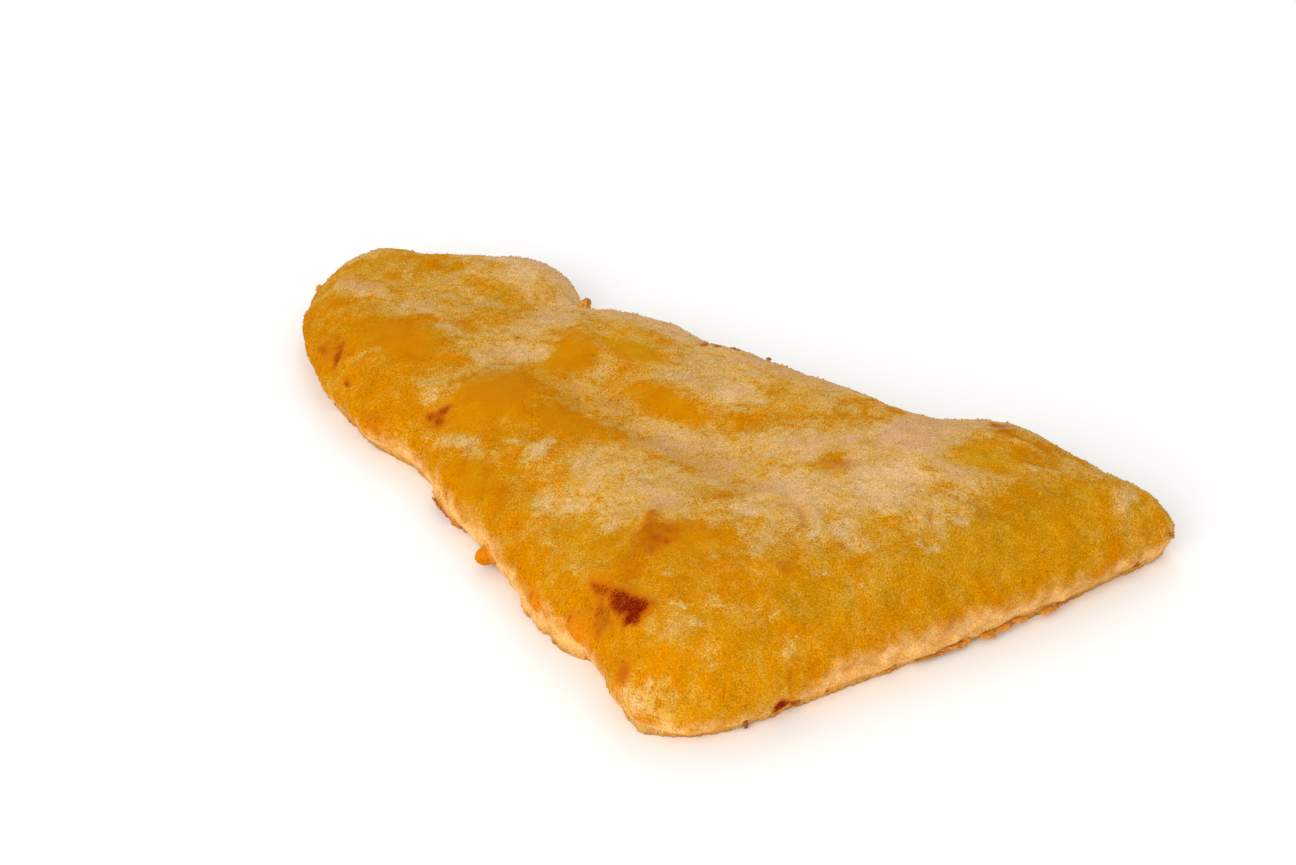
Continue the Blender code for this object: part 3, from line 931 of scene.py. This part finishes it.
def crust_material():
    """Wheat-flour coating fried in oil: starch and protein browned gold, matt, a little greasy.

    The fat makes soaked patches deeper and smoother; dry flour scatters light and looks paler.
    """
    crust = bpy.data.materials.new("fried_flour_crust")
    crust.use_nodes = True
    shader = crust.node_tree.nodes["Principled BSDF"]
    place = add_node(crust, "ShaderNodeTexCoord", {}, {}).outputs["Object"]
    mask = {}
    for name in CRUST_MASKS:
        found = add_node(crust, "ShaderNodeAttribute", {"attribute_name": name}, {})
        mask[name] = found.outputs["Fac"]

    # Clots of flour about a millimetre across, and its single grains, drawn coarser than real ones
    clots = add_node(
        crust,
        "ShaderNodeTexNoise",
        {},
        {"Vector": place, "Scale": 1 / CLOT_SIZE, "Detail": 3.0, "Roughness": 0.6},
    ).outputs["Fac"]
    grains = add_node(
        crust,
        "ShaderNodeTexNoise",
        {},
        {"Vector": place, "Scale": 1 / GRAIN_SIZE, "Detail": 2.0, "Roughness": 0.8},
    ).outputs["Fac"]
    clot_swing = add_node(
        crust,
        "ShaderNodeMapRange",
        {},
        {"Value": clots, "From Min": 0.25, "From Max": 0.75, "To Min": -0.6, "To Max": 0.6},
    ).outputs[0]
    grain_swing = add_node(
        crust,
        "ShaderNodeMapRange",
        {},
        {"Value": grains, "From Min": 0.2, "From Max": 0.8, "To Min": -0.7, "To Max": 0.7},
    ).outputs[0]

    # Flour over gold
    veil = add_node(
        crust,
        "ShaderNodeMath",
        {"operation": "MULTIPLY_ADD"},
        {0: clot_swing, 1: mask["patchy"], 2: mask["veil"]},
    ).outputs[0]
    grained_veil = add_node(
        crust,
        "ShaderNodeMath",
        {"operation": "MULTIPLY_ADD", "use_clamp": True},
        {0: grain_swing, 1: mask["patchy"], 2: veil},
    ).outputs[0]
    gold = add_node(
        crust,
        "ShaderNodeMix",
        {"data_type": "RGBA"},
        {0: mask["yellow"], 6: linear(GOLD), 7: linear(YELLOW_GOLD)},
    ).outputs[2]
    dry_flour = add_node(
        crust,
        "ShaderNodeMix",
        {"data_type": "RGBA"},
        {0: mask["rose"], 6: linear(DRY_FLOUR), 7: linear(ROSY_FLOUR)},
    ).outputs[2]
    soaked = add_node(
        crust, "ShaderNodeMapRange", {}, {"Value": grained_veil, "From Max": 0.3}
    ).outputs[0]
    thick = add_node(
        crust, "ShaderNodeMapRange", {}, {"Value": grained_veil, "From Min": 0.2}
    ).outputs[0]
    damp = add_node(
        crust,
        "ShaderNodeMix",
        {"data_type": "RGBA"},
        {0: soaked, 6: gold, 7: linear(DAMP_FLOUR)},
    ).outputs[2]
    dusted = add_node(
        crust,
        "ShaderNodeMix",
        {"data_type": "RGBA"},
        {0: thick, 6: damp, 7: dry_flour},
    ).outputs[2]

    # Browning, from orange through tan to burnt, broken up by the grains
    scorch = add_node(
        crust,
        "ShaderNodeMath",
        {"operation": "MULTIPLY_ADD"},
        {0: grain_swing, 1: mask["brown"], 2: mask["brown"]},
    ).outputs[0]
    tan = add_node(
        crust,
        "ShaderNodeMapRange",
        {"interpolation_type": "SMOOTHSTEP"},
        {"Value": scorch, "From Min": 0.05, "From Max": 0.7},
    ).outputs[0]
    burnt = add_node(
        crust,
        "ShaderNodeMapRange",
        {"interpolation_type": "SMOOTHSTEP"},
        {"Value": scorch, "From Min": 0.6, "From Max": 0.95},
    ).outputs[0]

    # What covers the flour and the gold, from the lowest layer up: how much of it, and its colour
    layers = (
        (mask["wall"], PALE_WALL),
        (mask["amber"], AMBER),
        (tan, TAN),
        (burnt, BURNT),
    )
    colour = dusted
    for cover, layer_colour in layers:
        colour = add_node(
            crust,
            "ShaderNodeMix",
            {"data_type": "RGBA"},
            {0: cover, 6: colour, 7: linear(layer_colour)},
        ).outputs[2]

    # Light and dark grains, weaker where the fat evens them out
    clotted = add_node(
        crust,
        "ShaderNodeMath",
        {"operation": "MULTIPLY_ADD"},
        {0: clot_swing, 1: CLOT_SHADE, 2: mask["tone"]},
    ).outputs[0]
    grain_shade = add_node(
        crust, "ShaderNodeMath", {"operation": "MULTIPLY"}, {0: mask["dry"], 1: GRAIN_SHADE}
    ).outputs[0]
    brightness = add_node(
        crust,
        "ShaderNodeMath",
        {"operation": "MULTIPLY_ADD"},
        {0: grain_swing, 1: grain_shade, 2: clotted},
    ).outputs[0]
    grained = add_node(
        crust, "ShaderNodeHueSaturation", {}, {"Value": brightness, "Color": colour}
    ).outputs["Color"]
    roughness = add_node(
        crust,
        "ShaderNodeMapRange",
        {},
        {"Value": mask["dry"], "From Min": 0.15, "To Min": 0.42, "To Max": 0.65},
    ).outputs[0]
    bump = add_node(
        crust,
        "ShaderNodeBump",
        {},
        {"Height": grains, "Strength": mask["dry"], "Distance": GRAIN_DEPTH},
    ).outputs["Normal"]
    crust.node_tree.links.new(grained, shader.inputs["Base Color"])
    crust.node_tree.links.new(roughness, shader.inputs["Roughness"])
    crust.node_tree.links.new(bump, shader.inputs["Normal"])
    shader.inputs["IOR"].default_value = 1.45
    shader.inputs["Specular IOR Level"].default_value = 0.005
    shader.inputs["Subsurface Weight"].default_value = 0.12
    shader.inputs["Subsurface Radius"].default_value = (1.0, 0.45, 0.12)
    shader.inputs["Subsurface Scale"].default_value = 1.5 * MM
    return crust


def make_coating():
    skin = skin_mesh()
    smooth_mesh(skin, SKIN_SMOOTHING)
    mesh = thin_underside(skin)
    coat(mesh)
    mesh.shade_smooth()
    mesh.materials.clear()
    mesh.materials.append(crust_material())
    coating = bpy.data.objects.new("coating", mesh)
    bpy.context.scene.collection.objects.link(coating)
    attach(coating, "root")
    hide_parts("fillet")
    return coating


coating = make_coating()

# --------------------------------------------------------------------
# Browned crumbs: flakes and specks of batter that caught on the pan and stuck to the rim, mostly
# along the foot of the cut end. They are the same floured batter, fried harder and darker.
# --------------------------------------------------------------------

# Name, x, y, z, half-length, half-width, half-height, turn, browning from amber 0 to dark 1
CRUMBS = (
    ("long flake", 74.0, -9.0, 1.4, 3.2, 0.9, 0.32, 66, 0.42),
    ("long flake middle", 76.0, -5.2, 1.5, 2.6, 0.9, 0.34, 60, 0.3),
    ("long flake end", 77.1, -2.4, 1.6, 1.1, 0.7, 0.3, 80, 0.1),
    ("torn flake", 79.3, 1.4, 1.4, 1.3, 1.0, 0.3, 40, 0.12),
    ("torn flake middle", 80.5, 4.6, 1.5, 1.7, 0.7, 0.32, 76, 0.0),
    ("torn flake end", 81.8, 8.2, 1.6, 1.7, 0.6, 0.28, 58, 0.22),
    ("flake by the tip", 84.5, 13.8, 1.6, 1.6, 0.7, 0.28, 74, 0.1),
    ("sliver by the tip", 85.5, 17.2, 1.9, 1.2, 0.4, 0.25, 62, 0.6),
    ("flake under the tip", 90.4, 33.4, 1.8, 2.4, 0.5, 0.25, 70, 0.2),
    ("speck on the tip", 94.4, 41.6, 6.2, 0.5, 0.3, 0.5, 0, 0.6),
    ("flake at the foot", 70.3, -17.4, 1.9, 1.4, 0.5, 0.3, 66, 0.4),
    ("speck at the foot", 65.0, -28.4, 1.6, 0.3, 0.3, 0.6, 0, 0.6),
    ("crumb by the scorch", 62.7, -34.3, 1.6, 0.8, 0.5, 0.5, 70, 0.6),
    ("speck by the corner", 58.6, -43.5, 1.0, 0.3, 0.3, 0.8, 0, 0.8),
    ("notch crumb", -38.9, 42.6, 9.8, 1.6, 1.1, 1.1, -60, 0.1),
    ("notch speck", -38.6, 43.2, 10.9, 1.0, 0.6, 0.3, -50, 0.6),
    ("back speck one", -6.3, 38.6, 13.7, 0.6, 0.4, 0.4, 10, 0.5),
    ("back speck two", -3.6, 39.3, 13.6, 0.7, 0.4, 0.4, -10, 0.6),
    ("back speck three", -0.9, 41.2, 13.0, 1.1, 0.4, 0.4, 0, 0.6),
    ("back speck four", 6.4, 42.4, 12.7, 0.5, 0.3, 0.3, 0, 0.8),
    ("tail speck", -91.6, 20.4, 7.0, 0.8, 0.6, 0.6, 60, 0.1),
    ("flank sliver", -25.0, -22.6, 1.9, 2.0, 0.3, 0.3, -30, 0.5),
)
CRUMB_ROUGHNESS = 0.75
# Its knobs: how many times the noise runs over the ball, and their share
CRUMB_KNOBS = ((1.3, 1.0), (3.1, 0.5))
CRUMB_SPECK = 0.7 * MM
CRUMB_AMBER = "#e09a3c"
CRUMB_DARK = "#7a3208"


def crumb(bm, shape, seed, darkness):
    """A torn, knobbly lump: a ball pushed in and out by noise, then stretched to its size."""
    made = bmesh.ops.create_icosphere(bm, subdivisions=4, radius=1.0)["verts"]
    browned = bm.verts.layers.float["browning"]
    shift = Vector((seed * 3.7, seed * 1.9, seed * 5.3))
    for vert in made:
        knobs = sum(tall * noise.noise(vert.co * runs + shift) for runs, tall in CRUMB_KNOBS)
        vert.co *= 1.0 + CRUMB_ROUGHNESS * knobs
        vert[browned] = darkness
    bmesh.ops.transform(bm, matrix=shape, verts=made)
    for vert in made:
        vert.co.z = max(vert.co.z, table_height)


def crumb_material():
    """Batter fried hard: starch and sugar browned from amber to dark, brittle, with a dull sheen."""
    batter = bpy.data.materials.new("hard_fried_batter")
    batter.use_nodes = True
    shader = batter.node_tree.nodes["Principled BSDF"]
    place = add_node(batter, "ShaderNodeTexCoord", {}, {}).outputs["Object"]
    darkness = add_node(batter, "ShaderNodeAttribute", {"attribute_name": "browning"}, {})
    specks = add_node(
        batter,
        "ShaderNodeTexNoise",
        {},
        {"Vector": place, "Scale": 1 / CRUMB_SPECK, "Detail": 3.0, "Roughness": 0.7},
    ).outputs["Fac"]
    speck_swing = add_node(
        batter,
        "ShaderNodeMapRange",
        {},
        {"Value": specks, "From Min": 0.25, "From Max": 0.75, "To Min": -0.4, "To Max": 0.4},
    ).outputs[0]
    browned = add_node(
        batter,
        "ShaderNodeMath",
        {"operation": "ADD", "use_clamp": True},
        {0: darkness.outputs["Fac"], 1: speck_swing},
    ).outputs[0]
    colour = add_node(
        batter,
        "ShaderNodeMix",
        {"data_type": "RGBA"},
        {0: browned, 6: linear(CRUMB_AMBER), 7: linear(CRUMB_DARK)},
    ).outputs[2]
    batter.node_tree.links.new(colour, shader.inputs["Base Color"])
    shader.inputs["Roughness"].default_value = 0.5
    shader.inputs["IOR"].default_value = 1.45
    shader.inputs["Specular IOR Level"].default_value = 0.1
    return batter


def make_crumbs():
    bm = bmesh.new()
    bm.verts.layers.float.new("browning")
    for seed, (_, x, y, z, half_length, half_width, half_height, turn, darkness) in enumerate(CRUMBS):
        shape = Matrix.LocRotScale(
            Vector((x, y, z + table_height / MM)) * MM,
            Matrix.Rotation(math.radians(turn), 3, "Z"),
            Vector((half_length, half_width, half_height)) * MM,
        )
        crumb(bm, shape, seed, darkness)
    mesh = bpy.data.meshes.new("browned_crumbs")
    bm.to_mesh(mesh)
    bm.free()
    mesh.shade_smooth()
    mesh.materials.append(crumb_material())
    crumbs = bpy.data.objects.new("browned_crumbs", mesh)
    bpy.context.scene.collection.objects.link(crumbs)
    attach(crumbs, "root")
    return crumbs


make_crumbs()

# --------------------------------------------------------------------
# Flour grains: crisp grains and tiny clots of flour standing on the crust, thickest on its rim and
# its dusty patches, fried in place and so of the crust's own stuff. They roughen its outline.
# --------------------------------------------------------------------
GRAIN_COUNT = 6000
GRAIN_SIZES = (0.09, 0.24)
GRAIN_STRETCH = (0.6, 1.4)
GRAIN_SEED = 7
GRAINS_AT_ONCE = 100
# How far off the crust a grain's middle is, as a share of its size
LIFTED = 0.2
# Chance of a grain on golden crust, and how much likelier full dust makes it; the rim adds 1
GRAINS_ON_GOLD = 0.12
GRAINS_ON_DUST = 0.6


def coating_mask(name):
    values = np.empty(len(coating.data.vertices), np.float32)
    coating.data.attributes[name].data.foreach_get("value", values)
    return values.astype(float)


def scatter_grains():
    """One ball of twenty faces for each grain, stretched and turned at random on the crust."""
    random = np.random.default_rng(GRAIN_SEED)
    co = vertex_array(coating.data, "co")
    normal = vertex_array(coating.data, "normal")
    masks = {name: coating_mask(name) for name in CRUST_MASKS}
    rim = smoothstep(normal[:, 2], 0.8, 0.3)
    dusty = np.clip(masks["veil"], 0.0, 1.0)
    chance = masks["dry"] * (GRAINS_ON_GOLD + GRAINS_ON_DUST * dusty + rim)
    chance *= (normal[:, 2] > -0.4) & (co[:, 2] > table_height + 1.5 * GRAIN_SIZES[1] * MM)
    seats = random.choice(len(co), GRAIN_COUNT, replace=False, p=chance / chance.sum())
    batches = bmesh.new()
    for first in range(0, GRAIN_COUNT, GRAINS_AT_ONCE):
        batch = bmesh.new()
        layers = {name: batch.verts.layers.float.new(name) for name in CRUST_MASKS}
        for seat in seats[first : first + GRAINS_AT_ONCE]:
            size = random.uniform(*GRAIN_SIZES) * MM
            stretch = Vector(random.uniform(*GRAIN_STRETCH, 3)) * size
            axis = Vector(random.normal(size=3)).normalized()
            turn = Matrix.Rotation(random.uniform(0.0, math.tau), 3, axis)
            place = Vector(co[seat] + normal[seat] * LIFTED * size)
            shape = Matrix.LocRotScale(place, turn, stretch)
            made = bmesh.ops.create_icosphere(batch, subdivisions=1, radius=1.0, matrix=shape)
            for vert in made["verts"]:
                for name, layer in layers.items():
                    vert[layer] = masks[name][seat]
        batch_mesh = bpy.data.meshes.new("batch")
        batch.to_mesh(batch_mesh)
        batch.free()
        batches.from_mesh(batch_mesh)
        bpy.data.meshes.remove(batch_mesh)
    grains = bpy.data.meshes.new("flour_grains")
    batches.to_mesh(grains)
    batches.free()
    grains.shade_smooth()
    return grains


def make_grains():
    mesh = scatter_grains()
    mesh.materials.append(coating.data.materials[0])
    grains = bpy.data.objects.new("flour_grains", mesh)
    bpy.context.scene.collection.objects.link(grains)
    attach(grains, "root")


make_grains()
